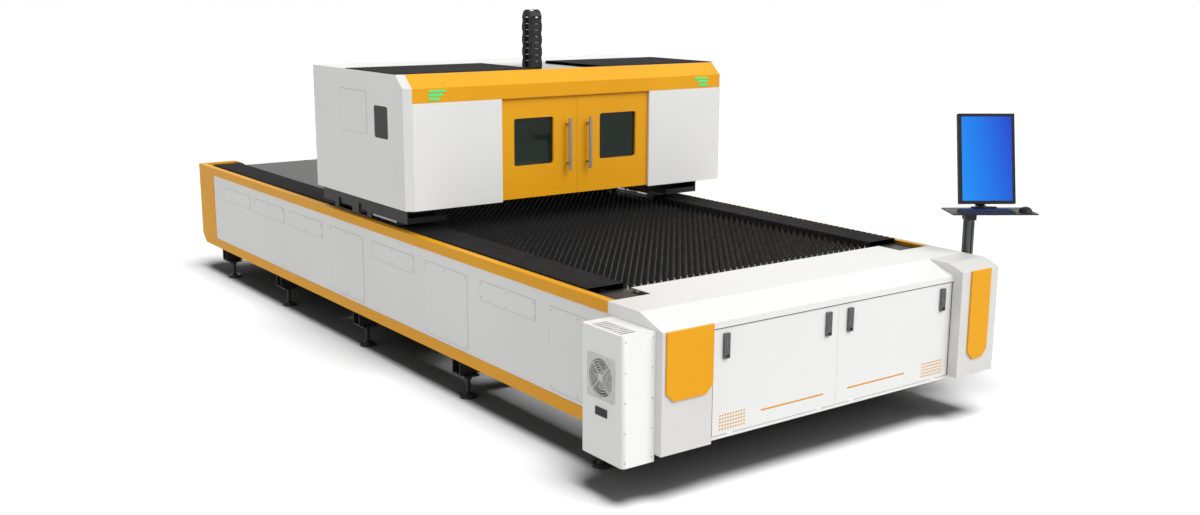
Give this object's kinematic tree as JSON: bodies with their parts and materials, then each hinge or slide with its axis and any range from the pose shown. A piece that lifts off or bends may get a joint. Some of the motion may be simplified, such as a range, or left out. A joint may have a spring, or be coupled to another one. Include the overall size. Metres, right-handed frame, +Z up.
{
  "type": "gantry laser cutting machine",
  "caption": "Long flat-bed laser cutting machine: slatted table, rail bellows, travelling cabin with sliding doors, front cabinet and operator console.",
  "frame": {"origin": "on the floor under the middle of the outline", "axes": "+Y from the front cabinet to the rear end of the bed, +X to the operator console's side, +Z up"},
  "size_m": [3.2366, 6.9234, 2.4482],
  "materials": {
    "paint_white": "smooth semi-gloss white powder coat",
    "cooler_white": "fine-grained light grey powder coat",
    "paint_orange": "smooth semi-gloss orange-yellow powder coat",
    "frame_dark": "dark grey machine paint",
    "black_steel": "black paint",
    "slat_steel": "dark rolled steel plate",
    "grey_steel": "mid grey machine paint",
    "bright_steel": "ground bearing steel",
    "handle_steel": "satin tube",
    "folding_cover": "stiffened dark grey folding cover",
    "latch_metal": "dark grey die-cast",
    "black_plastic": "black moulded plastic",
    "display_black": "glossy black",
    "post_aluminium": "anodised extrusion",
    "tray_black": "black paint",
    "screen_blue": "lit plain blue screen",
    "motor_black": "black motor housing",
    "head_dark": "black anodised head",
    "lamp_green": "lit green lens",
    "window_green": "dark green laser safety glass"
  },
  "bodies": {
    "base": {"bed_frame": "frame_dark", "leg_channels": "black_steel", "levelling_feet": "black_steel", "side_frames": "paint_orange", "side_panels": "paint_white", "rear_panel": "paint_white", "deck_plates": "grey_steel", "slats": "slat_steel", "slat_holders": "frame_dark", "rail_bellows": "folding_cover", "guide_rails": "bright_steel", "gear_racks": "bright_steel", "front_cover": "paint_white", "front_cabinet": "paint_white", "pillar_left": "paint_white", "pillar_right": "paint_white", "trim_plates": "paint_orange", "cooler_case": "cooler_white", "cooler_grille": "cooler_white", "cooler_display": "display_black", "console_post": "post_aluminium"},
    "left_cabinet_door": {"cabinet_door_left": "paint_white", "latch_bases_left": "latch_metal"},
    "right_cabinet_door": {"cabinet_door_right": "paint_white", "latch_bases_right": "latch_metal"},
    "lever_1": {"latch_lever_1": "latch_metal"},
    "lever_2": {"latch_lever_2": "latch_metal"},
    "lever_3": {"latch_lever_3": "latch_metal"},
    "lever_4": {"latch_lever_4": "latch_metal"},
    "fan": {"cooler_fan": "black_plastic"},
    "console": {"keyboard_tray": "tray_black", "keyboard": "black_plastic", "mouse": "black_plastic", "monitor_bracket": "tray_black"},
    "monitor": {"monitor_case": "black_plastic", "monitor_screen": "screen_blue"},
    "gantry": {"gantry_beam": "grey_steel", "end_carriages": "frame_dark", "bearing_blocks": "bright_steel", "drive_motors": "motor_black", "cross_rails": "bright_steel", "cabin_sides": "paint_white", "cabin_back": "paint_white", "cabin_front_panels": "paint_white", "canopy": "paint_orange", "roof_bellows": "folding_cover", "status_lamps": "lamp_green", "side_windows": "window_green"},
    "left_cabin_door": {"cabin_door_left": "paint_orange", "door_window_left": "window_green", "door_handle_left": "handle_steel"},
    "right_cabin_door": {"cabin_door_right": "paint_orange", "door_window_right": "window_green", "door_handle_right": "handle_steel"},
    "carriage": {"x_carriage": "grey_steel", "cable_chain": "black_plastic"},
    "head": {"lift_plate": "frame_dark", "cutting_head": "head_dark"},
    "left_pinion": {"pinion_left": "bright_steel"},
    "right_pinion": {"pinion_right": "bright_steel"}
  },
  "joints": [
    {"name": "gantry_slide", "type": "slide", "parent": "base", "child": "gantry", "axis": [0, 1, 0], "range_m": [-1.45, 1.5], "deforming": ["rail_bellows"]},
    {"name": "carriage_slide", "type": "slide", "parent": "gantry", "child": "carriage", "axis": [1, 0, 0], "range_m": [-0.68, 0.62], "deforming": ["roof_bellows"]},
    {"name": "head_slide", "type": "slide", "parent": "carriage", "child": "head", "axis": [0, 0, 1], "range_m": [-0.06, 0.12]},
    {"name": "left_cabin_door_slide", "type": "slide", "parent": "gantry", "child": "left_cabin_door", "axis": [1, 0, 0], "range_m": [-0.51, 0]},
    {"name": "right_cabin_door_slide", "type": "slide", "parent": "gantry", "child": "right_cabin_door", "axis": [1, 0, 0], "range_m": [0, 0.51]},
    {"name": "left_cabinet_door_hinge", "type": "hinge", "parent": "base", "child": "left_cabinet_door", "pos_m": [-0.60583, -3.35531, 0.316], "axis": [1, 0, 0], "range_deg": [0, 90]},
    {"name": "right_cabinet_door_hinge", "type": "hinge", "parent": "base", "child": "right_cabinet_door", "pos_m": [0.33417, -3.35531, 0.316], "axis": [1, 0, 0], "range_deg": [0, 90]},
    {"name": "latch_1_lift", "type": "hinge", "parent": "left_cabinet_door", "child": "lever_1", "pos_m": [-0.98283, -3.37331, 0.8485], "axis": [-1, 0, 0], "range_deg": [0, 75]},
    {"name": "latch_2_lift", "type": "hinge", "parent": "left_cabinet_door", "child": "lever_2", "pos_m": [-0.23158, -3.37331, 0.8485], "axis": [-1, 0, 0], "range_deg": [0, 75]},
    {"name": "latch_3_lift", "type": "hinge", "parent": "right_cabinet_door", "child": "lever_3", "pos_m": [-0.06008, -3.37331, 0.8485], "axis": [-1, 0, 0], "range_deg": [0, 75]},
    {"name": "latch_4_lift", "type": "hinge", "parent": "right_cabinet_door", "child": "lever_4", "pos_m": [0.73117, -3.37331, 0.8485], "axis": [-1, 0, 0], "range_deg": [0, 75]},
    {"name": "fan_spin", "type": "hinge", "parent": "base", "child": "fan", "pos_m": [-1.58283, -3.13131, 0.672], "axis": [1, 0, 0], "continuous": true},
    {"name": "console_swivel", "type": "hinge", "parent": "base", "child": "console", "pos_m": [1.25667, -3.12031, 1.22], "axis": [0, 0, 1], "range_deg": [-60, 60]},
    {"name": "monitor_tilt", "type": "hinge", "parent": "console", "child": "monitor", "pos_m": [1.41629, -3.08303, 1.548], "axis": [0.8315, -0.5556, 0], "range_deg": [-12, 12]},
    {"name": "left_pinion_spin", "type": "hinge", "parent": "gantry", "child": "left_pinion", "pos_m": [-1.33813, 0.23169, 0.96], "axis": [0, 0, 1], "continuous": true},
    {"name": "right_pinion_spin", "type": "hinge", "parent": "gantry", "child": "right_pinion", "pos_m": [1.08647, 0.23169, 0.96], "axis": [0, 0, 1], "continuous": true}
  ],
  "couplings": [
    {"joint": "left_pinion_spin", "follows": "gantry_slide", "rad_per_m": -45.455},
    {"joint": "right_pinion_spin", "follows": "gantry_slide", "rad_per_m": 45.455}
  ]
}
